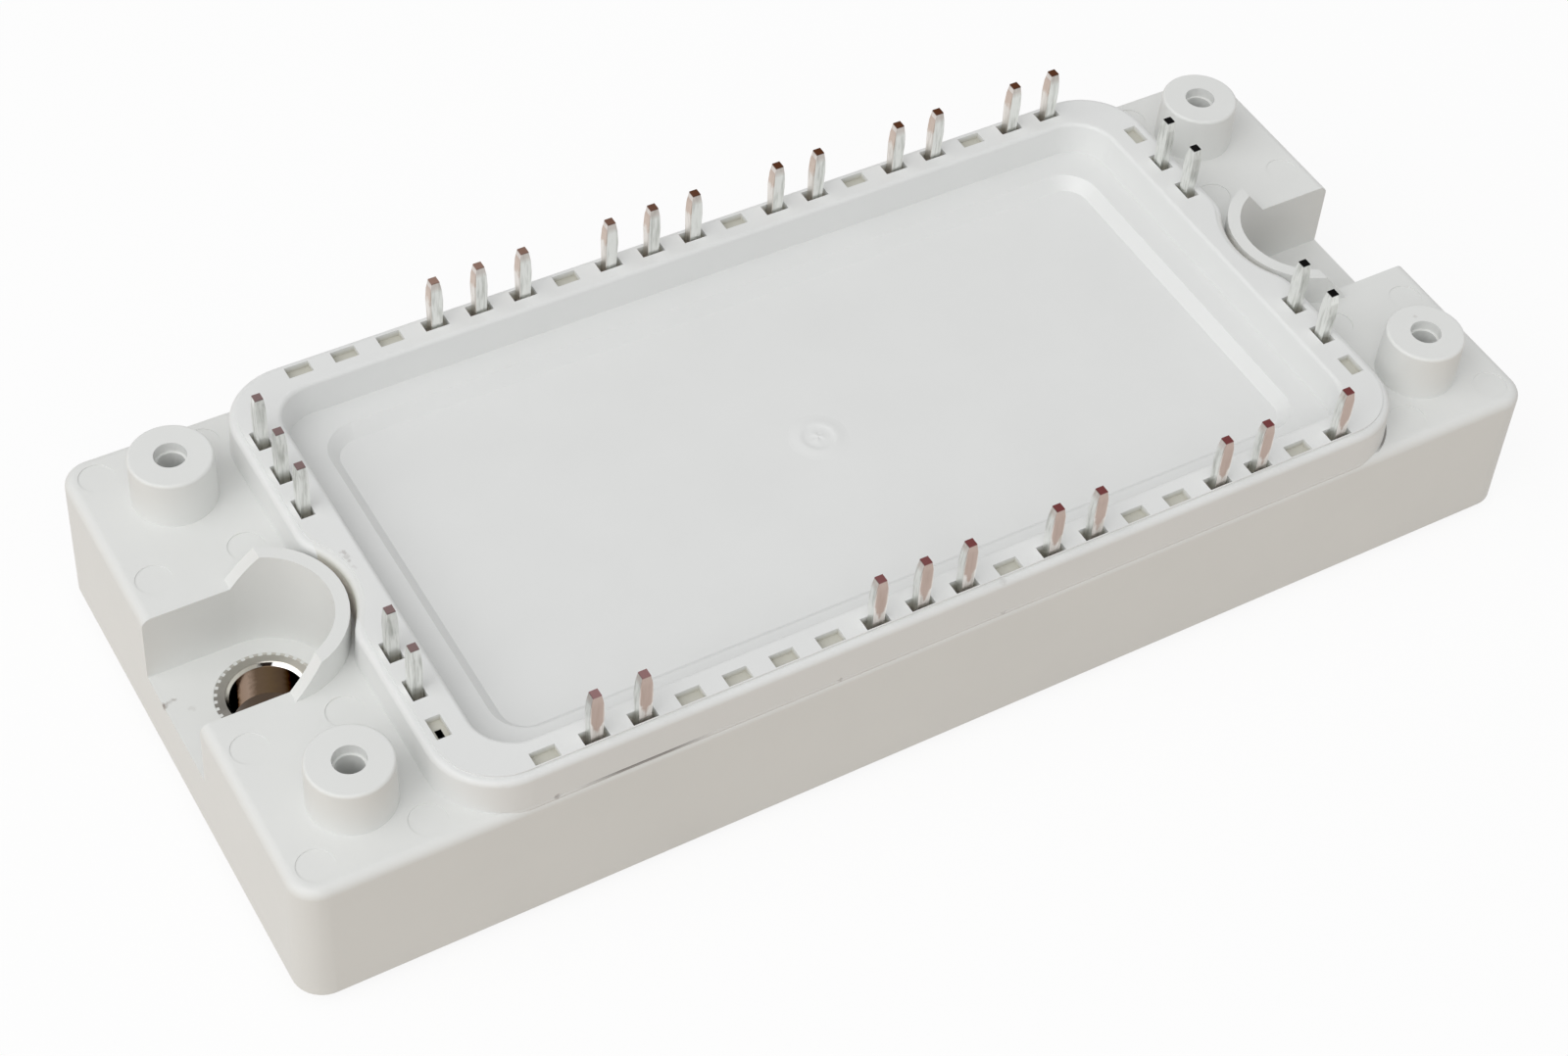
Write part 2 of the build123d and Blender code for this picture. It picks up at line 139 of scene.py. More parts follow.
def new_material(name, **values):
    """A material with a Principled shader. Values are set straight on the
    shader's own sockets, with _ for a space in their names."""
    material = bpy.data.materials.new(name)
    material.use_nodes = True
    tree = material.node_tree
    tree.nodes.clear()
    shader = add_node(tree, "ShaderNodeBsdfPrincipled")
    add_node(tree, "ShaderNodeOutputMaterial", {"Surface": shader.outputs[0]})
    for key, value in values.items():
        shader.inputs[key.replace("_", " ")].default_value = value
    return material, tree, shader


def paint(material, *names):
    """Gives every named CAD node this one material."""
    for name in names:
        nodes[name].data.materials.clear()
        nodes[name].data.materials.append(material)


def seen_directly(tree):
    """A Light Path node, and a value that is 1 for what the camera, metal and
    glass see and 0 for light that bounces: the maximum of its three outputs."""
    path = add_node(tree, "ShaderNodeLightPath")
    share = path.outputs["Is Camera Ray"]
    for other in ("Is Glossy Ray", "Is Transmission Ray"):
        most = add_node(tree, "ShaderNodeMath", {0: share, 1: path.outputs[other]}, operation="MAXIMUM")
        share = most.outputs[0]
    return path, share


def round_axis(tree, place, x, y):
    """The distance from the upright axis through x and y, which is the length of
    the place's flat part seen from there, and the x, y and z of that place."""
    centred = add_node(tree, "ShaderNodeMapping", {"Vector": place, "Location": (-x, -y, 0.0)})
    split = add_node(tree, "ShaderNodeSeparateXYZ", {0: centred.outputs[0]})
    flat = add_node(tree, "ShaderNodeCombineXYZ", {0: split.outputs[0], 1: split.outputs[1]})
    away = add_node(tree, "ShaderNodeVectorMath", {0: flat.outputs[0]}, operation="LENGTH")
    return away.outputs["Value"], split


print("white is", linear("#FFFFFF"), "mid grey is", linear("#808080"))


# %% [markdown]
# ## The floor
# The module lies on a pale sweep. In the photograph its outer sides are warm and
# darker than the walls inside the tray, so the ground there threw back little
# light, and warm light at that. The floor does the same: for bounced light it is
# a matt beige, while the camera sees it white, as a mix of a white matt surface
# that takes the soft shadow and a white glow of strength 1. Metal that mirrors
# the floor sees the white too.
# It lies 0.05 mm under the base plate, because two surfaces in one plane would
# flicker. From below it is clear, and so it is for rays shorter than 0.1 mm,
# which only the base plate sends out, so the underside can be looked at too.

# %% Floor
scene.view_settings.view_transform = "Standard"

floor_mesh = bpy.data.meshes.new("floor")
reach = 1.6
level = -0.05 * MM
corners = [(-reach, -reach, level), (reach, -reach, level), (reach, reach, level), (-reach, reach, level)]
floor_mesh.from_pydata(corners, [], [(0, 1, 2, 3)])
floor = bpy.data.objects.new("floor", floor_mesh)
scene.collection.objects.link(floor)

floor_paper = bpy.data.materials.new("matt_paper_sweep")
floor_paper.use_nodes = True
tree = floor_paper.node_tree
tree.nodes.clear()
light_path, shown = seen_directly(tree)
glow_share = 0.88
share = add_node(tree, "ShaderNodeMath", {0: shown, 1: glow_share}, operation="MULTIPLY")
paper = add_node(
    tree, "ShaderNodeMix", {0: shown, 6: linear("#C2B3A0"), 7: linear("#FCFCFC")}, data_type="RGBA"
)
matt = add_node(tree, "ShaderNodeBsdfDiffuse", {"Color": paper.outputs[2]})
glow = add_node(tree, "ShaderNodeEmission", {"Color": linear("#FFFFFF"), "Strength": 1.0})
both = add_node(tree, "ShaderNodeMixShader", {0: share.outputs[0], 1: matt.outputs[0], 2: glow.outputs[0]})
below = add_node(tree, "ShaderNodeNewGeometry").outputs["Backfacing"]
length = light_path.outputs["Ray Length"]
shortest = 0.1 * MM
close = add_node(tree, "ShaderNodeMath", {0: length, 1: shortest}, operation="LESS_THAN")
gone = add_node(tree, "ShaderNodeMath", {0: below, 1: close.outputs[0]}, operation="MAXIMUM")
clear = add_node(tree, "ShaderNodeBsdfTransparent")
whole = add_node(tree, "ShaderNodeMixShader", {0: gone.outputs[0], 1: both.outputs[0], 2: clear.outputs[0]})
add_node(tree, "ShaderNodeOutputMaterial", {"Surface": whole.outputs[0]})
floor_mesh.materials.append(floor_paper)
print("floor", reach * 2, "m wide")


# %% [markdown]
# ## The light
# In the photograph the tops are an even white, the end that faces left is nearly
# as bright, and the walls that face right are the darkest. The world and each
# of several soft boxes were rendered alone, and the strengths that add up to
# the photograph's tones were found by least squares: the world gives most of
# it, and two equal soft boxes on the left and at the front left give the rest.
# The world too shows the camera and the metal plain white. The lamps are large
# and far, so shadows stay faint.

# %% World and lamps
world = bpy.data.worlds.new("studio")
scene.world = world
world.use_nodes = True
tree = world.node_tree
tree.nodes.clear()
shown = seen_directly(tree)[1]
ambient = add_node(tree, "ShaderNodeBackground", {"Color": linear("#FFFFFF"), "Strength": 0.55})
white = add_node(tree, "ShaderNodeBackground", {"Color": linear("#FFFFFF"), "Strength": 1.0})
both = add_node(tree, "ShaderNodeMixShader", {0: shown, 1: ambient.outputs[0], 2: white.outputs[0]})
add_node(tree, "ShaderNodeOutputWorld", {"Surface": both.outputs[0]})


def soft_box(name, place, size, power, colour):
    """A square area lamp at a place in metres, turned towards the object."""
    data = bpy.data.lights.new(name, "AREA")
    data.shape = "SQUARE"
    data.size = size
    data.energy = power
    data.color = linear(colour)[:3]
    lamp = bpy.data.objects.new(name, data)
    scene.collection.objects.link(lamp)
    lamp.location = place
    lamp.rotation_euler = Vector(place).to_track_quat("Z", "Y").to_euler()
    return lamp


soft_box("front_left_soft_box", (-0.65, -0.65, 0.9), 1.1, 4.5, "#FFFFFF")
soft_box("left_soft_box", (-0.9, 0.0, 0.9), 1.1, 4.4, "#FFFFFF")


# %% [markdown]
# ## White plastic
# Frame and lid are injection-moulded PBT, a stiff polyester with glass fibre.
# It is opaque and satin: light from a soft box spreads over it without a sharp
# reflection. The mould was spark-eroded, which leaves a very fine grain, and the
# melt leaves faint clouds in its white. Both are noise in object coordinates,
# scaled from real sizes. The real grain is about 0.05 mm, too fine to show in
# the render, so it is drawn at 0.3 mm and kept low.

# %% Satin plastic
def satin_plastic(name, light, dark, roughness):
    """PBT plastic between two near whites, with clouds of 9 mm and a fine grain
    that varies the roughness by 0.04 and the height a little. Returns the
    material, its shader, the place and the colour, to be soiled below."""
    material, tree, shader = new_material(name, IOR=1.5)
    place = add_node(tree, "ShaderNodeTexCoord").outputs["Object"]
    wide = {"Scale": 1 / (9 * MM), "Detail": 3.0, "Roughness": 0.55}
    clouds = add_node(tree, "ShaderNodeTexNoise", {"Vector": place, **wide})
    tone = add_node(
        tree, "ShaderNodeMix", {0: clouds.outputs[0], 6: linear(light), 7: linear(dark)}, data_type="RGBA"
    )
    fine = {"Scale": 1 / (0.3 * MM), "Detail": 2.0, "Roughness": 0.6}
    grain = add_node(tree, "ShaderNodeTexNoise", {"Vector": place, **fine})
    spread = {"From Min": 0.3, "From Max": 0.7, "To Min": roughness - 0.04, "To Max": roughness + 0.04}
    gloss = add_node(tree, "ShaderNodeMapRange", {"Value": grain.outputs[0], **spread})
    bump = add_node(
        tree, "ShaderNodeBump", {"Strength": 0.2, "Distance": 0.01 * MM, "Height": grain.outputs[0]}
    )
    tree.links.new(gloss.outputs[0], shader.inputs["Roughness"])
    tree.links.new(bump.outputs[0], shader.inputs["Normal"])
    return material, shader, place, tone.outputs[2]


housing_pbt, housing_shader, housing_place, housing_white = satin_plastic(
    "moulded_pbt_housing", "#E8E9E7", "#E2E3E1", 0.42
)
lid_pbt, lid_shader, lid_place, lid_white = satin_plastic("moulded_pbt_lid", "#E9EAE9", "#E3E4E3", 0.38)
paint(housing_pbt, "housing_frame")
paint(lid_pbt, "lid")
print("plastics", housing_pbt.name, lid_pbt.name)


# %% [markdown]
# ## Spots of dirt and painted shade
# The part has been lying about: there are a few brown spots on the floor of the
# left recess and a smear on the lid's rim. The three spots along the front weld
# are painted shade, where the gap under the lid opens. Each spot is a distance
# from a point, and noise moves the place that is measured by a few tenths of a
# millimetre, so its edge is ragged.

# %% Spots
def spots_of_dirt_and_shade(material, place, colour, spots):
    """Mixes brown into the colour near each spot, dirt for some and painted shade
    for others. Each spot is given as x, y, z, radius and strength in mm: full
    within 0.4 radius, none beyond a radius."""
    tree = material.node_tree
    ragged = add_node(tree, "ShaderNodeTexNoise", {"Vector": place, "Scale": 1 / (0.5 * MM), "Detail": 3.0})
    nudge = add_node(
        tree, "ShaderNodeVectorMath", {0: ragged.outputs["Color"], 1: (0.5, 0.5, 0.5)}, operation="SUBTRACT"
    )
    nudged = add_node(
        tree,
        "ShaderNodeVectorMath",
        {0: nudge.outputs[0], 1: (0.9 * MM,) * 3, 2: place},
        operation="MULTIPLY_ADD",
    )
    for x, y, z, radius, strength in spots:
        away = add_node(
            tree,
            "ShaderNodeVectorMath",
            {0: nudged.outputs[0], 1: (x * MM, y * MM, z * MM)},
            operation="DISTANCE",
        )
        edges = {"From Min": radius * MM, "From Max": 0.4 * radius * MM, "To Max": strength}
        spot = add_node(tree, "ShaderNodeMapRange", {"Value": away.outputs["Value"], **edges})
        darkened = add_node(
            tree, "ShaderNodeMix", {0: spot.outputs[0], 6: colour, 7: linear("#6E5A4C")}, data_type="RGBA"
        )
        colour = darkened.outputs[2]
    return colour


housing_spots = [
    (-53.6, 2.3, 6.35, 0.42, 0.75),
    (-53.2, 2.5, 6.4, 0.25, 0.3),
    (-52.8, 2.55, 6.4, 0.28, 0.4),
    (-51.9, 1.2, 6.4, 0.3, 0.12),
    (46.9, -14.0, 17.0, 0.3, 0.2),
    (43.3, -8.2, 12.7, 0.35, 0.2),
    (50.0, -12.5, 12.7, 0.3, 0.15),
]
lid_dirt_and_shade_spots = [
    (-38.9, 2.3, 15.9, 0.3, 0.32),
    (-38.92, 1.85, 15.9, 0.3, 0.22),
    (-38.9, 1.4, 15.9, 0.32, 0.28),
    (-38.85, 0.7, 15.9, 0.28, 0.15),
    (2.8, -21.7, 15.8, 0.4, 0.15),
    # The next three spots are painted shade, where the front weld's gap opens.
    (-34.0, -22.2, 12.62, 0.36, 0.4),
    (-11.2, -22.2, 12.6, 0.3, 0.3),
    (3.0, -22.2, 12.6, 0.3, 0.2),
]
housing_colour = spots_of_dirt_and_shade(housing_pbt, housing_place, housing_white, housing_spots)
lid_colour = spots_of_dirt_and_shade(lid_pbt, lid_place, lid_white, lid_dirt_and_shade_spots)
print("spots", len(housing_spots) + len(lid_dirt_and_shade_spots))


# %% [markdown]
# ## Small marks as surfaces
# Three small things have too little height for the CAD model, but catch the
# light: the mark where the melt entered the lid's mould, the edge of the weld
# between lid and frame, and the plastic that stands between the teeth of each
# bush. Each is a surface worked out on a grid, as a profile that is turned round
# an axis or carried along a path. One function makes a mesh of such a grid.

# %% Meshes from grids
def grid_piece(name, grid, material, ring):
    """A closed mesh from a grid of points, an array of profile, path and 3.
    Four neighbours make a face and the profile closes on itself. In a ring the
    path does too, otherwise a face covers each end of it."""
    count, steps = grid.shape[:2]
    number = np.arange(count * steps).reshape(count, steps)
    number = np.vstack((number, number[:1]))
    faces = []
    if ring:
        number = np.hstack((number, number[:, :1]))
    else:
        faces = [number[:-1, 0].tolist(), number[:-1, -1].tolist()]
    quads = np.stack((number[:-1, :-1], number[:-1, 1:], number[1:, 1:], number[1:, :-1]), axis=-1)
    mesh = bpy.data.meshes.new(name)
    mesh.from_pydata(grid.reshape(-1, 3).tolist(), [], faces + quads.reshape(-1, 4).tolist())
    shape = bmesh.new()
    shape.from_mesh(mesh)
    bmesh.ops.remove_doubles(shape, verts=shape.verts, dist=0.0001 * MM)
    loose = [edge for edge in shape.edges if not edge.link_faces]
    bmesh.ops.delete(shape, geom=loose, context="EDGES")
    bmesh.ops.recalc_face_normals(shape, faces=shape.faces)
    shape.to_mesh(mesh)
    shape.free()
    mesh.polygons.foreach_set("use_smooth", np.ones(len(mesh.polygons), dtype=bool))
    mesh.materials.append(material)
    piece = bpy.data.objects.new(name, mesh)
    scene.collection.objects.link(piece)
    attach(piece, "root")
    print(name, "faces", len(mesh.polygons))
    return piece


# %% [markdown]
# ## Gate mark
# The melt came into the lid's mould through one point in the middle, and the
# gate was torn off there. It left a shallow crater with a low, wide rim and a
# small uneven nub. It is made as a surface rather than as a bump in the material.

# %% Gate mark
def gate_mark(centre, reach, crest_radius):
    """Height over the distance r from the centre: a rim whose height falls off
    as a bell curve, 0.3 mm wide inwards and 0.55 mm outwards, and a nub, a bell
    curve 0.55 mm wide that varies with the angle, except right in the middle.
    The edge dips under the panel with the 12th power of r."""
    r = np.concatenate((np.linspace(0, reach, 57), [reach, 0.0]))[:, None]
    turn = np.linspace(0, 2 * np.pi, 73)[None, :-1]
    inwards = 0.3 * MM
    outwards = 0.55 * MM
    width = np.where(r < crest_radius, inwards, outwards)
    rim = 0.1 * MM * np.exp(-(((r - crest_radius) / width) ** 2))
    uneven = 1 + 0.6 * np.minimum(r / inwards, 1) * np.cos(3 * turn + 0.8)
    nub = 0.09 * MM * np.exp(-((r / outwards) ** 2)) * uneven
    height = 0.005 * MM + rim + nub - 0.03 * MM * (r / reach) ** 12
    underside = -0.08 * MM
    height[-2:] = underside
    grid = np.stack((r * np.cos(turn), r * np.sin(turn), height), axis=-1)
    return grid + np.array(centre)


gate_grid = gate_mark((-0.16 * MM, -0.21 * MM, panel_height), 2.7 * MM, 1.45 * MM)
grid_piece("lid_gate_mark", gate_grid, lid_pbt, ring=True)


# %% [markdown]
# ## Weld edge
# The lid is welded to the frame along its foot. On the long sides a thin edge of
# melt fills the wedge over the frame's rounded edge. It stops just short of the
# lid, and at one stretch in front that gap is wide enough to see as a dark line.
# So a small profile is carried along the foot of the lid, round the start of its
# corners, and its upper face sinks where the gap opens.

# %% Weld edge
def weld_edge(side, gap):
    """A six-point profile carried along the lid's foot. side is 1 for the side
    towards -y and -1 for the one towards +y. The path is a straight line with an
    arc at each end, through which the foot turns by the angle at which the wedge
    closes. The first two points lie at the frame's top, inside the lid and just
    short of its face. The next three go down the wedge, and the last is inside
    again. gap gives the open gap in mm at places along x in mm, by which the
    second and third points sink."""
    end_turn = np.radians(25.0)
    bend = np.concatenate((np.linspace(-end_turn, 0, 13), np.zeros(359), np.linspace(0, end_turn, 13)))
    straight = np.concatenate((np.full(12, -1.0), np.linspace(-1, 1, 361), np.full(12, 1.0))) * lid_corner[0]
    open_gap = gap((straight + lid_corner_radius * np.sin(bend)) / MM) * MM
    full = np.ones_like(bend)
    outwards = np.outer((-0.6, -0.06, -0.02, 0.0, -0.02, -0.6), full) * MM
    depths = np.outer((0.0, 0.0, 0.06, 0.28, 0.45, 0.25), full) * MM
    depths[1:3] += open_gap
    heights = frame_top - depths
    reach = lid_corner_radius + outwards
    x = straight + reach * np.sin(bend)
    y = side * (lid_corner[1] - reach * np.cos(bend))
    return np.stack((x, y, heights), axis=-1)


def front_gap(x):
    """Open from -32 to -22 mm, widest at -27, with a nick at -34, two short
    openings further right and a slight wave."""
    wide = 0.16 * np.exp(-(((x + 27) / 4.6) ** 4))
    nick = 0.16 * np.exp(-(((x + 34) / 0.35) ** 2))
    short = 0.07 * np.exp(-(((x + 11.2) / 0.9) ** 2)) + 0.05 * np.exp(-(((x - 3) / 1.4) ** 2))
    return 0.015 + wide + nick + short + 0.012 * np.sin(1.3 * x) * np.sin(0.37 * x)


def back_gap(x):
    """A narrow gap with a slight wave."""
    return 0.03 + 0.02 * np.sin(0.9 * x) * np.sin(0.23 * x)


grid_piece("lid_weld_front", weld_edge(1, front_gap), lid_pbt, ring=False)
grid_piece("lid_weld_back", weld_edge(-1, back_gap), lid_pbt, ring=False)


# %% [markdown]
# ## Plastic between the teeth
# Each bush is pressed into the floor of its recess, and its teeth push the
# plastic up between them. In the photograph the notches between the teeth are
# light for that reason, not dark gaps. A flat ring just below the teeth's tops
# does it.

# %% Bush seats
def seat_ring(centre_x, inner, outer, top, depth):
    """A rectangle turned round an upright axis at centre_x."""
    r = np.array((inner, outer, outer, inner))[:, None]
    z = np.array((top, top, top - depth, top - depth))[:, None]
    turn = np.linspace(0, 2 * np.pi, 145)[None, :-1]
    return np.stack((centre_x + r * np.cos(turn), r * np.sin(turn), z + 0 * turn), axis=-1)


for side, centre_x in (("left", -bush_x), ("right", bush_x)):
    ring_grid = seat_ring(centre_x, 3.6 * MM, 4.0 * MM, recess_floor - 0.04 * MM, 0.3 * MM)
    seat = grid_piece("bush_seat_" + side, ring_grid, housing_pbt, ring=True)
    seat.data.polygons.foreach_set("use_smooth", np.zeros(len(seat.data.polygons), dtype=bool))


# %% [markdown]
# ## Painted shade in the gaps
# Two places on the long sides get a dark line of painted shade, for the shadow
# in a gap under the lid: the open stretch of the front weld and the gap round
# the front right corner of the lid. They follow the lid's outline, so a few
# numbers tell where: a line is a stretch of x, and an arc is a distance from the
# corner's axis and an angle round it.

# %% Painted shade in the gaps
open_x = -27 * MM
weld_y = -22.16 * MM
arc_angle = -0.8


def painted_gap_shade_line(material, place, colour):
    """Painted shade in the open front weld: mixes dark brown into the colour from
    x = -32.5 to -21.5 mm, in a band 0.2 mm wide and 0.3 mm high under the lid's
    front face. It fades towards both ends, over the distance from the middle of
    the stretch."""
    tree = material.node_tree
    split = add_node(tree, "ShaderNodeSeparateXYZ", {0: place})
    from_middle = add_node(tree, "ShaderNodeMath", {0: split.outputs[0], 1: open_x}, operation="SUBTRACT")
    off = add_node(tree, "ShaderNodeMath", {0: from_middle.outputs[0]}, operation="ABSOLUTE")
    ends = {"From Min": 5.5 * MM, "From Max": 2 * MM, "To Max": 0.7}
    fade = add_node(tree, "ShaderNodeMapRange", {"Value": off.outputs[0], **ends})
    across = add_node(
        tree, "ShaderNodeMath", {0: split.outputs[1], 1: weld_y, 2: 0.1 * MM}, operation="COMPARE"
    )
    height = {1: frame_top - 0.15 * MM, 2: 0.15 * MM}
    below = add_node(tree, "ShaderNodeMath", {0: split.outputs[2], **height}, operation="COMPARE")
    gap = add_node(tree, "ShaderNodeMath", {0: across.outputs[0], 1: below.outputs[0]}, operation="MULTIPLY")
    mask = add_node(tree, "ShaderNodeMath", {0: gap.outputs[0], 1: fade.outputs[0]}, operation="MULTIPLY")
    darkened = add_node(
        tree, "ShaderNodeMix", {0: mask.outputs[0], 6: colour, 7: linear("#6B6058")}, data_type="RGBA"
    )
    return darkened.outputs[2]


def painted_gap_shade_arc(material, place, colour):
    """Painted shade in the gap under the lid's front right corner: mixes dark grey
    into the colour on the frame's top, within 0.17 mm of the lid's corner radius,
    and fades with the angle away from -0.8 radians."""
    tree = material.node_tree
    away, split = round_axis(tree, place, lid_corner[0], lid_corner[1])
    on_arc = add_node(
        tree, "ShaderNodeMath", {0: away, 1: lid_corner_radius, 2: 0.17 * MM}, operation="COMPARE"
    )
    angle = add_node(tree, "ShaderNodeMath", {0: split.outputs[1], 1: split.outputs[0]}, operation="ARCTAN2")
    bend = add_node(tree, "ShaderNodeMath", {0: angle.outputs[0], 1: arc_angle}, operation="SUBTRACT")
    off = add_node(tree, "ShaderNodeMath", {0: bend.outputs[0]}, operation="ABSOLUTE")
    ends = {"From Min": 0.42, "From Max": 0.16, "To Max": 0.85}
    fade = add_node(tree, "ShaderNodeMapRange", {"Value": off.outputs[0], **ends})
    top_only = add_node(
        tree, "ShaderNodeMath", {0: split.outputs[2], 1: frame_top - 0.05 * MM}, operation="GREATER_THAN"
    )
    arc = add_node(tree, "ShaderNodeMath", {0: on_arc.outputs[0], 1: fade.outputs[0]}, operation="MULTIPLY")
    mask = add_node(tree, "ShaderNodeMath", {0: arc.outputs[0], 1: top_only.outputs[0]}, operation="MULTIPLY")
    darkened = add_node(
        tree, "ShaderNodeMix", {0: mask.outputs[0], 6: colour, 7: linear("#6F6B66")}, data_type="RGBA"
    )
    return darkened.outputs[2]


# Painted shade in the gaps: along the open front weld on lid and frame, and round the lid's corner on the
# frame.
lid_colour = painted_gap_shade_line(lid_pbt, lid_place, lid_colour)
housing_colour = painted_gap_shade_line(housing_pbt, housing_place, housing_colour)
housing_colour = painted_gap_shade_arc(housing_pbt, housing_place, housing_colour)
print("lid corner at", lid_corner)


# %% [markdown]
# ## Depth of the slots
# What lies low in the slots looks greener and darker than the rim, because the
# light down there has bounced between plastic walls, each time losing a little
# red. The camera's renderer does some of that, and the rest is painted in by
# height. Below the blind slots' floors, where only the slots with a pin go on,
# the white is lighter again, for the light that real plastic lets through its
# thin walls.

# %% Depth of the slots
slot_half_width = 0.8 * MM
row_end = 36.5 * MM
column_end = 17 * MM


def slot_band(tree, across, middle, along, end):
    """1 in a straight band of slots: near its middle line and before its end."""
    near = add_node(tree, "ShaderNodeMath", {0: across, 1: middle, 2: slot_half_width}, operation="COMPARE")
    within = add_node(tree, "ShaderNodeMath", {0: along, 1: end}, operation="LESS_THAN")
    band = add_node(tree, "ShaderNodeMath", {0: near.outputs[0], 1: within.outputs[0]}, operation="MULTIPLY")
    return band.outputs[0]


def deepen(material, place, colour, surface, tone, strength):
    """Mixes another tone into the colour under a height, fully from 0.5 mm
    below it, in the two rows and the two columns of slots."""
    tree = material.node_tree
    split = add_node(tree, "ShaderNodeSeparateXYZ", {0: place})
    x = add_node(tree, "ShaderNodeMath", {0: split.outputs[0]}, operation="ABSOLUTE").outputs[0]
    y = add_node(tree, "ShaderNodeMath", {0: split.outputs[1]}, operation="ABSOLUTE").outputs[0]
    column = slot_band(tree, x, column_x, y, column_end)
    row = slot_band(tree, y, row_y, x, row_end)
    in_band = add_node(tree, "ShaderNodeMath", {0: column, 1: row}, operation="MAXIMUM")
    depth = {"From Min": surface, "From Max": surface - 0.5 * MM, "To Max": strength}
    low = add_node(tree, "ShaderNodeMapRange", {"Value": split.outputs[2], **depth})
    mask = add_node(tree, "ShaderNodeMath", {0: in_band.outputs[0], 1: low.outputs[0]}, operation="MULTIPLY")
    deeper = add_node(
        tree, "ShaderNodeMix", {0: mask.outputs[0], 6: colour, 7: linear(tone)}, data_type="RGBA"
    )
    return deeper.outputs[2]


lid_colour = deepen(lid_pbt, lid_place, lid_colour, lid_top - 0.1 * MM, "#C4C2B5", 0.8)
lid_colour = deepen(lid_pbt, lid_place, lid_colour, lid_top - 0.65 * MM, "#FAF3EA", 1.0)
print("rows at", row_y, "columns at", column_x)


# %% [markdown]
# ## The vent
# One blind slot in the left column has a vent hole. Hardly any light comes back
# out of it, so everything in and under it is nearly black. This is the last
# change to the colours of the two plastics, so here they reach the shaders.

# %% The vent
vent_y = -4 * pitch - 0.4 * MM
vent_reach = 1.5 * MM


def blacken_vent(material, shader, place, colour, surface):
    """Mixes near black into the colour within 1.5 mm of the vent's axis and
    under the given height, and links it to the shader."""
    tree = material.node_tree
    away, split = round_axis(tree, place, -column_x, vent_y)
    near = add_node(tree, "ShaderNodeMath", {0: away, 1: vent_reach}, operation="LESS_THAN")
    under = add_node(tree, "ShaderNodeMath", {0: split.outputs[2], 1: surface}, operation="LESS_THAN")
    mask = add_node(tree, "ShaderNodeMath", {0: near.outputs[0], 1: under.outputs[0]}, operation="MULTIPLY")
    black = add_node(
        tree, "ShaderNodeMix", {0: mask.outputs[0], 6: colour, 7: linear("#0B0A09")}, data_type="RGBA"
    )
    tree.links.new(black.outputs[2], shader.inputs["Base Color"])


blacken_vent(lid_pbt, lid_shader, lid_place, lid_colour, lid_top - 0.63 * MM)
blacken_vent(housing_pbt, housing_shader, housing_place, housing_colour, frame_top - 0.1 * MM)
print("vent at", round(-column_x, 5), round(vent_y, 5))


# %% [markdown]
# ## Tinned pins
# The pins are stamped from tinned copper strip. Tin is a soft bright grey metal
# with faint drawn streaks. Where the tool cut through it the copper shows: dark
# reddish brown on the tips, and a thin pinkish film on one side of the bulge,
# which runs down to a point in the front row. Low down, that film's tone is also
# painted reflection: the tin there mirrors the dark slot, so a weaker share of
# the tone stays below the film's start.
# The tips are lighter at the left of a row, and those of the right end are black.
# Each side is a plane in object coordinates, so the place of a point tells on
# which side it lies.

# %% Tinned copper
def copper_film_and_painted_reflection(tree, place, side, film_start):
    """How much bare copper shows on one side of a pin, 0 to 0.9. Below the
    film's start 0.35 of it stays, which is painted reflection of the dark slot in
    the tin. Side "front" is the one towards -y, "left" the one towards -x. The film
    starts so many mm above the lid, at a height that noise moves by 1.6 mm times
    its value, and thickens over 0.5 mm. In front its lower end is a point: it rises
    by 2.4 times the distance from the middle of the pin. Pins repeat at the pitch."""
    split = add_node(tree, "ShaderNodeSeparateXYZ", {0: place})
    shifted = add_node(tree, "ShaderNodeMath", {0: split.outputs[0], 1: pitch / 2}, operation="ADD")
    in_pitch = add_node(tree, "ShaderNodeMath", {0: shifted.outputs[0], 1: pitch, 2: 0.0}, operation="WRAP")
    start = lid_top + film_start * MM
    if side == "front":
        faces = add_node(
            tree, "ShaderNodeMath", {0: split.outputs[1], 1: -row_y - 0.32 * MM}, operation="LESS_THAN"
        )
        centred = add_node(
            tree, "ShaderNodeMath", {0: in_pitch.outputs[0], 1: pitch / 2}, operation="SUBTRACT"
        )
        off = add_node(tree, "ShaderNodeMath", {0: centred.outputs[0]}, operation="ABSOLUTE")
        edges = {"From Min": 0.62 * MM, "From Max": 0.42 * MM}
        strip = add_node(tree, "ShaderNodeMapRange", {"Value": off.outputs[0], **edges})
        edge = add_node(
            tree, "ShaderNodeMath", {0: faces.outputs[0], 1: strip.outputs[0]}, operation="MULTIPLY"
        )
        point = add_node(
            tree, "ShaderNodeMath", {0: off.outputs[0], 1: 2.4, 2: start}, operation="MULTIPLY_ADD"
        )
        start = point.outputs[0]
    else:
        edge = add_node(
            tree, "ShaderNodeMath", {0: in_pitch.outputs[0], 1: pitch / 2 - 0.42 * MM}, operation="LESS_THAN"
        )
    ragged = {"Scale": 1 / (0.6 * MM), "Detail": 3.0}
    rough_edge = add_node(tree, "ShaderNodeTexNoise", {"Vector": place, **ragged})
    begin = add_node(
        tree, "ShaderNodeMath", {0: rough_edge.outputs[0], 1: 1.6 * MM, 2: start}, operation="MULTIPLY_ADD"
    )
    above = add_node(tree, "ShaderNodeMath", {0: split.outputs[2], 1: begin.outputs[0]}, operation="SUBTRACT")
    # The 0.35 below the film's start is painted reflection: low on the pin, the tin mirrors the dark slot.
    rise = {"From Max": 0.5 * MM, "To Min": 0.35, "To Max": 0.9}
    film_and_reflection_share = add_node(tree, "ShaderNodeMapRange", {"Value": above.outputs[0], **rise})
    mask = add_node(
        tree, "ShaderNodeMath", {0: edge.outputs[0], 1: film_and_reflection_share.outputs[0]}, operation="MULTIPLY"
    )
    return mask.outputs[0]


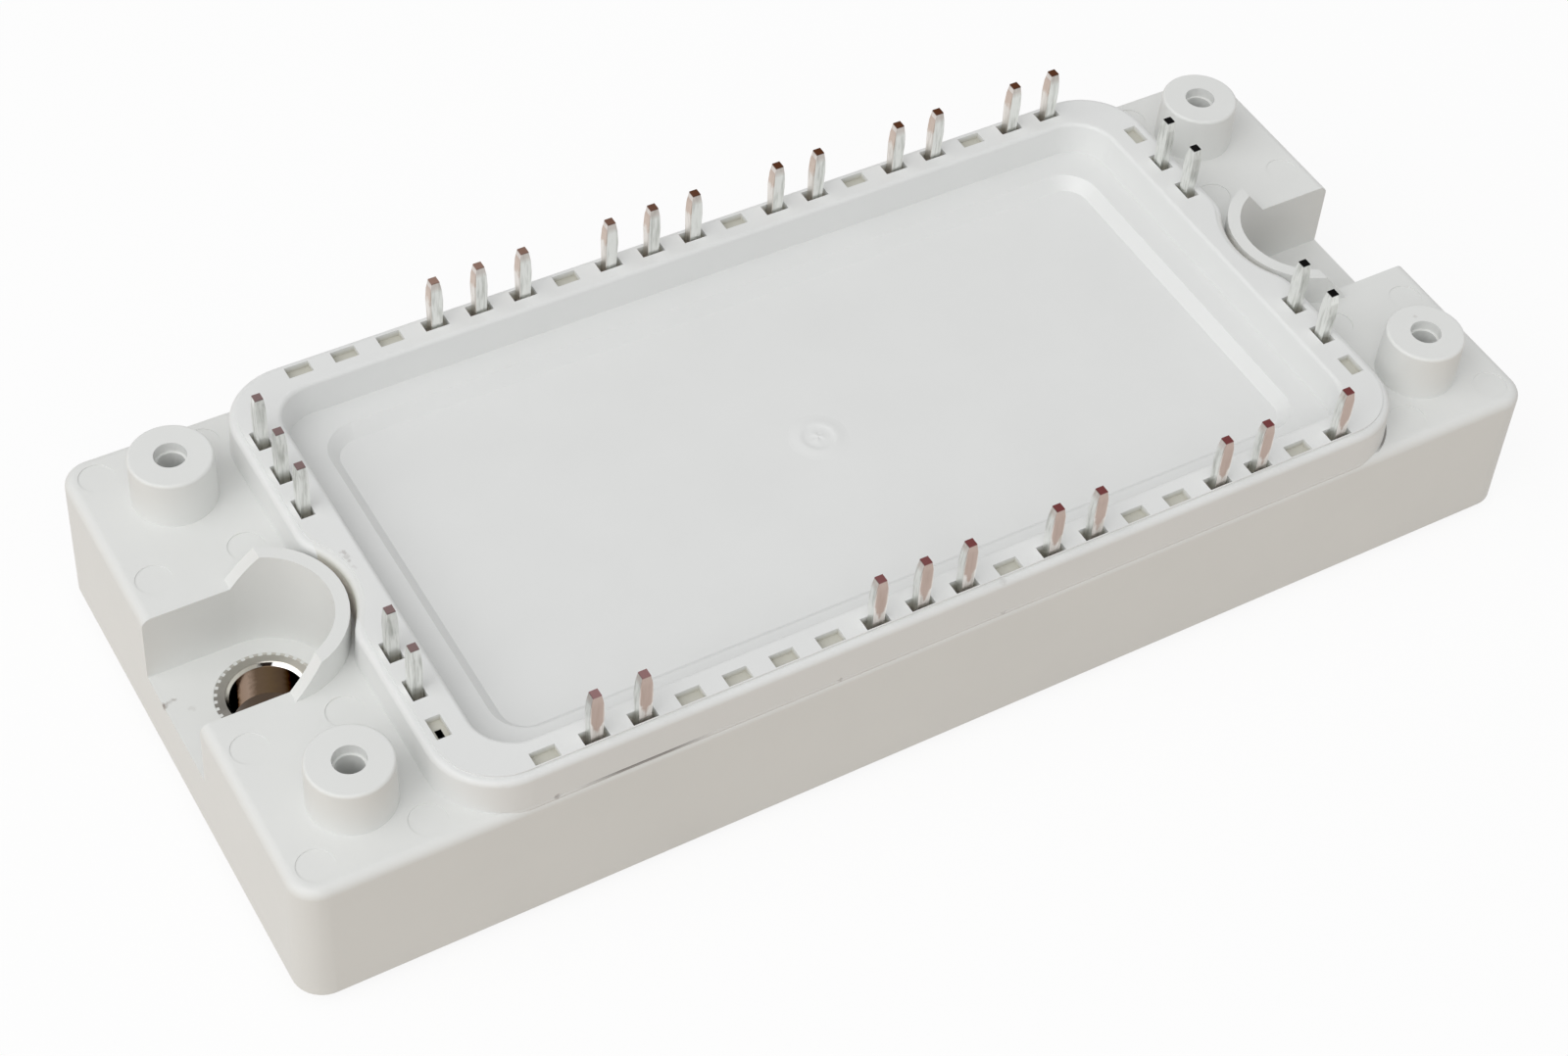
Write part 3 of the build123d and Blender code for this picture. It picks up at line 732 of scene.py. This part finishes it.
def tinned_copper(name, left_tip, right_tip, bare_side=None, film=None, film_start=None):
    """Tin over copper: bright grey metal with streaks along the pin, a film of
    bare copper on one side, if any, which lower down is painted reflection of the
    dark slot, and bare copper on the tip, which goes from one tone at the left of
    the row to another in the middle."""
    material, tree, shader = new_material(name, Metallic=1.0)
    place = add_node(tree, "ShaderNodeTexCoord").outputs["Object"]
    drawn = add_node(tree, "ShaderNodeMapping", {"Vector": place, "Scale": (1.0, 1.0, 0.12)})
    streaks = add_node(
        tree, "ShaderNodeTexNoise", {"Vector": drawn.outputs[0], "Scale": 1 / (0.25 * MM), "Detail": 2.0}
    )
    contrast = add_node(
        tree, "ShaderNodeMapRange", {"Value": streaks.outputs[0], "From Min": 0.45, "From Max": 0.75}
    )
    tones = {6: linear("#F3F4F1"), 7: linear("#CCCDC8")}
    tin = add_node(tree, "ShaderNodeMix", {0: contrast.outputs[0], **tones}, data_type="RGBA")
    colour = tin.outputs[2]
    split = add_node(tree, "ShaderNodeSeparateXYZ", {0: place})
    if bare_side:
        mask = copper_film_and_painted_reflection(tree, place, bare_side, film_start)
        with_film_and_reflection = add_node(tree, "ShaderNodeMix", {0: mask, 6: colour, 7: linear(film)}, data_type="RGBA")
        top = {"From Min": tip_height - 1.0 * MM, "From Max": tip_height - 0.5 * MM, "To Max": 0.5}
        near_tip = add_node(tree, "ShaderNodeMapRange", {"Value": split.outputs[2], **top})
        tones = {6: with_film_and_reflection.outputs[2], 7: linear("#BFADA4")}
        blush = add_node(tree, "ShaderNodeMix", {0: near_tip.outputs[0], **tones}, data_type="RGBA")
        colour = blush.outputs[2]
    row_part = {"From Min": -30 * MM, "From Max": 2 * MM}
    rightwards = add_node(tree, "ShaderNodeMapRange", {"Value": split.outputs[0], **row_part})
    tips = {6: linear(left_tip), 7: linear(right_tip)}
    copper = add_node(tree, "ShaderNodeMix", {0: rightwards.outputs[0], **tips}, data_type="RGBA")
    cut = {"From Min": tip_height - 0.14 * MM, "From Max": tip_height - 0.05 * MM}
    at_tip = add_node(tree, "ShaderNodeMapRange", {"Value": split.outputs[2], **cut})
    whole = add_node(
        tree, "ShaderNodeMix", {0: at_tip.outputs[0], 6: colour, 7: copper.outputs[2]}, data_type="RGBA"
    )
    gloss = add_node(
        tree, "ShaderNodeMapRange", {"Value": streaks.outputs[0], "To Min": 0.25, "To Max": 0.45}
    )
    tree.links.new(whole.outputs[2], shader.inputs["Base Color"])
    tree.links.new(gloss.outputs[0], shader.inputs["Roughness"])
    return material


# The front row's film starts just under the lid top, so its low part is painted reflection of the slot.
front_row = tinned_copper("tinned_copper_front_row", "#8F6F6F", "#713D3D", "front", "#AF988C", -0.45)
back_row = tinned_copper("tinned_copper_back_row", "#9D8277", "#532F1A", "left", "#C8B5A8", 1.6)
left_column = tinned_copper("tinned_copper_left_column", "#7E6A69", "#7E6A69")
right_column = tinned_copper("tinned_copper_right_column", "#020101", "#020101")

for row, finish in (("front", front_row), ("back", back_row), ("left", left_column), ("right", right_column)):
    pins = [name for name in nodes if name.startswith("terminal_" + row + "_")]
    paint(finish, *pins)
    print("pins", row, len(pins))


# %% [markdown]
# ## Steel bushes
# The bush in each recess is a turned steel sleeve with a knurled rim: dull grey
# where it is knurled and bright on the chamfer. Its bore was burnished and has a
# thin brown film of oil. Its reflections and shade are painted into its colour:
# upright bands of black and light brown in the bore for its mirrored far wall, a
# painted white highlight and a black painted reflection on the chamfer, and rim
# and teeth painted lighter on one side and darker on the other. So bands are laid
# on by the angle round the axis, with one ramp each for the bore, the chamfer, the
# rim and the teeth. Three distances from the axis part them: the bore's edge, the
# chamfer's outer edge and the roots of the teeth.

# %% Bushes
def angle_bands(tree, share, stops):
    """Colour by the share of a whole turn, from stops of position and hex."""
    bands = add_node(tree, "ShaderNodeValToRGB", {0: share})
    bands.color_ramp.elements.remove(bands.color_ramp.elements[1])
    bands.color_ramp.elements[0].position = stops[0][0]
    bands.color_ramp.elements[0].color = linear(stops[0][1])
    for position, shade in stops[1:]:
        bands.color_ramp.elements.new(position).color = linear(shade)
    return bands.outputs[0]


# Painted reflections, highlight and shade: these bands stand for what the steel mirrors and how the light
# falls on it.
bore_film_and_reflection_stops = [(0.0, "#2A221C"), (0.44, "#15110E"), (0.58, "#070504"), (0.65, "#57483C"), (0.7, "#63523F")]
bore_film_and_reflection_stops += [(0.76, "#6A594A"), (0.8, "#A38F80"), (0.84, "#A38F80"), (0.87, "#0C0908"), (1.0, "#2A221C")]
lip_tone_and_highlight_stops = [(0.0, "#8E8A83"), (0.46, "#8E8A83"), (0.5, "#FFFFFF"), (0.675, "#FFFFFF"), (0.69, "#1A1512")]
lip_tone_and_highlight_stops += [(0.73, "#1A1512"), (0.75, "#E0DCD4"), (0.92, "#F0ECE4"), (0.96, "#8E8A83")]
rim_tone_and_shade_stops = [(0.0, "#8A8782"), (0.5, "#CAC6BE"), (0.61, "#CAC6BE"), (0.67, "#B7B4AC"), (0.78, "#B4B0A8")]
rim_tone_and_shade_stops += [(0.86, "#AEABA3"), (0.94, "#A09D97"), (1.0, "#8A8782")]
tooth_tone_and_shade_stops = [(0.0, "#8A8782"), (0.5, "#DEDCD6"), (0.8, "#D2CFC8"), (0.88, "#BDBAB4"), (0.95, "#A09D97")]
tooth_tone_and_shade_stops += [(1.0, "#8A8782")]
bore_edge = 2.83 * MM
lip_edge = 3.03 * MM
root_edge = 3.7 * MM


def knurled_steel(name, centre_x):
    """Steel whose colour goes by the angle round the bore's axis, with other
    bands from each edge outwards: painted reflections, highlight and shade. The
    rim is duller than the bore and the chamfer. Noise of 0.4 mm makes the angle,
    and so the bands, waver."""
    material, tree, shader = new_material(name, Metallic=1.0)
    place = add_node(tree, "ShaderNodeTexCoord").outputs["Object"]
    radius, split = round_axis(tree, place, centre_x, 0.0)
    angle = add_node(tree, "ShaderNodeMath", {0: split.outputs[1], 1: split.outputs[0]}, operation="ARCTAN2")
    turned = add_node(tree, "ShaderNodeTexNoise", {"Vector": place, "Scale": 1 / (0.4 * MM), "Detail": 3.0})
    wobble = add_node(
        tree, "ShaderNodeMath", {0: turned.outputs[0], 1: 0.25, 2: angle.outputs[0]}, operation="MULTIPLY_ADD"
    )
    share = add_node(
        tree, "ShaderNodeMapRange", {"Value": wobble.outputs[0], "From Min": -np.pi, "From Max": np.pi}
    )
    colour = angle_bands(tree, share.outputs[0], bore_film_and_reflection_stops)
    for edge, stops in ((bore_edge, lip_tone_and_highlight_stops), (lip_edge, rim_tone_and_shade_stops), (root_edge, tooth_tone_and_shade_stops)):
        outer = angle_bands(tree, share.outputs[0], stops)
        step = {"From Min": edge - 0.02 * MM, "From Max": edge + 0.02 * MM}
        beyond = add_node(tree, "ShaderNodeMapRange", {"Value": radius, **step})
        tone = add_node(tree, "ShaderNodeMix", {0: beyond.outputs[0], 6: colour, 7: outer}, data_type="RGBA")
        colour = tone.outputs[2]
    dull = {"From Min": 3.05 * MM, "From Max": 3.15 * MM, "To Min": 0.14, "To Max": 0.45}
    gloss = add_node(tree, "ShaderNodeMapRange", {"Value": radius, **dull})
    tree.links.new(colour, shader.inputs["Base Color"])
    tree.links.new(colour, shader.inputs["Specular Tint"])
    tree.links.new(gloss.outputs[0], shader.inputs["Roughness"])
    return material


for side, centre_x in (("left", -bush_x), ("right", bush_x)):
    paint(knurled_steel("knurled_steel_" + side, centre_x), "bush_" + side)


# %% [markdown]
# ## Nickel
# The base plate is copper with a thin warm nickel plating, ground flat so that
# it sits well on a heat sink. Grinding leaves long fine scratches along the plate,
# so the noise is stretched 25 times in x. Its two screw holes are as brown as the
# bores of the bushes. Folding x at the middle makes one test do for both holes.

# %% Base plate
nickel, tree, shader = new_material("ground_nickel_plate", Metallic=1.0)
place = add_node(tree, "ShaderNodeTexCoord").outputs["Object"]
stretched = add_node(tree, "ShaderNodeMapping", {"Vector": place, "Scale": (0.04, 1.0, 1.0)})
scratches = add_node(
    tree, "ShaderNodeTexNoise", {"Vector": stretched.outputs[0], "Scale": 1 / (0.35 * MM), "Detail": 4.0}
)
patches = add_node(tree, "ShaderNodeTexNoise", {"Vector": place, "Scale": 1 / (14 * MM), "Detail": 2.0})
tones = {6: linear("#C8C2B4"), 7: linear("#B3AB9B")}
tone = add_node(tree, "ShaderNodeMix", {0: patches.outputs[0], **tones}, data_type="RGBA")
split = add_node(tree, "ShaderNodeSeparateXYZ", {0: place})
from_middle = add_node(tree, "ShaderNodeMath", {0: split.outputs[0]}, operation="ABSOLUTE")
to_hole = add_node(tree, "ShaderNodeMath", {0: from_middle.outputs[0], 1: bush_x}, operation="SUBTRACT")
flat = add_node(tree, "ShaderNodeCombineXYZ", {0: to_hole.outputs[0], 1: split.outputs[1]})
radius = add_node(tree, "ShaderNodeVectorMath", {0: flat.outputs[0]}, operation="LENGTH")
in_hole = add_node(tree, "ShaderNodeMath", {0: radius.outputs["Value"], 1: bore_edge}, operation="LESS_THAN")
colour = add_node(
    tree, "ShaderNodeMix", {0: in_hole.outputs[0], 6: tone.outputs[2], 7: linear("#54463A")}, data_type="RGBA"
)
gloss = add_node(tree, "ShaderNodeMapRange", {"Value": scratches.outputs[0], "To Min": 0.2, "To Max": 0.45})
bump = add_node(
    tree, "ShaderNodeBump", {"Strength": 0.3, "Distance": 0.01 * MM, "Height": scratches.outputs[0]}
)
tree.links.new(colour.outputs[2], shader.inputs["Base Color"])
tree.links.new(gloss.outputs[0], shader.inputs["Roughness"])
tree.links.new(bump.outputs[0], shader.inputs["Normal"])
paint(nickel, "base_plate")


# %% [markdown]
# ## The parts inside
# Under the lid lie two ceramic substrates with silicon chips, joined by
# aluminium ribbons and covered with clear silicone gel. None of it shows in the
# photograph, but whoever takes the lid off should find the right finishes. Each
# is a plain mottled material with the colours and gloss of the real one.

# %% Finishes inside
solders = ["substrate_solder_left", "substrate_solder_right"]
coppers = ["substrate_copper_left", "substrate_copper_right"]
coppers += ["substrate_tracks_left", "substrate_tracks_right"]
ceramics = ["substrate_ceramic_left", "substrate_ceramic_right"]
chips = ["igbt_chips_left", "igbt_chips_right", "diode_chips_left", "diode_chips_right"]
ribbons = ["chip_ribbons", "terminal_ribbons"]
inside = [
    ("solder_alloy", "#9A9C9E", "#7E8184", 1.0, 0.45, solders, "solder"),
    ("rolled_copper", "#C77B58", "#A9603F", 1.0, 0.35, coppers, "bare_copper"),
    ("alumina_ceramic", "#F2F1EC", "#E4E2DA", 0.0, 0.55, ceramics, "substrate_ceramic"),
    ("metallised_silicon", "#8E9198", "#5C6068", 1.0, 0.25, chips, "silicon"),
    ("thermistor_ceramic", "#3A342F", "#26221F", 0.0, 0.5, ["thermistor"], "thermistor_body"),
    ("bonded_aluminium", "#D5D6D8", "#B8BABD", 1.0, 0.3, ribbons, "ribbon_aluminium"),
    ("clear_silicone_gel", "#F4F5F4", "#E9EBEA", 0.0, 0.08, ["silicone_gel"], "clear_gel"),
]
for name, light, dark, metallic, roughness, wearers, slot in inside:
    material, tree, shader = new_material(name, Metallic=metallic, Roughness=roughness)
    place = add_node(tree, "ShaderNodeTexCoord").outputs["Object"]
    mottle = add_node(tree, "ShaderNodeTexNoise", {"Vector": place, "Scale": 1 / (1.5 * MM), "Detail": 3.0})
    tone = add_node(
        tree, "ShaderNodeMix", {0: mottle.outputs[0], 6: linear(light), 7: linear(dark)}, data_type="RGBA"
    )
    tree.links.new(tone.outputs[2], shader.inputs["Base Color"])
    if slot == "clear_gel":
        shader.inputs["Transmission Weight"].default_value = 0.9
        shader.inputs["IOR"].default_value = 1.41
    paint(material, *wearers)
print("finishes inside", len(inside))
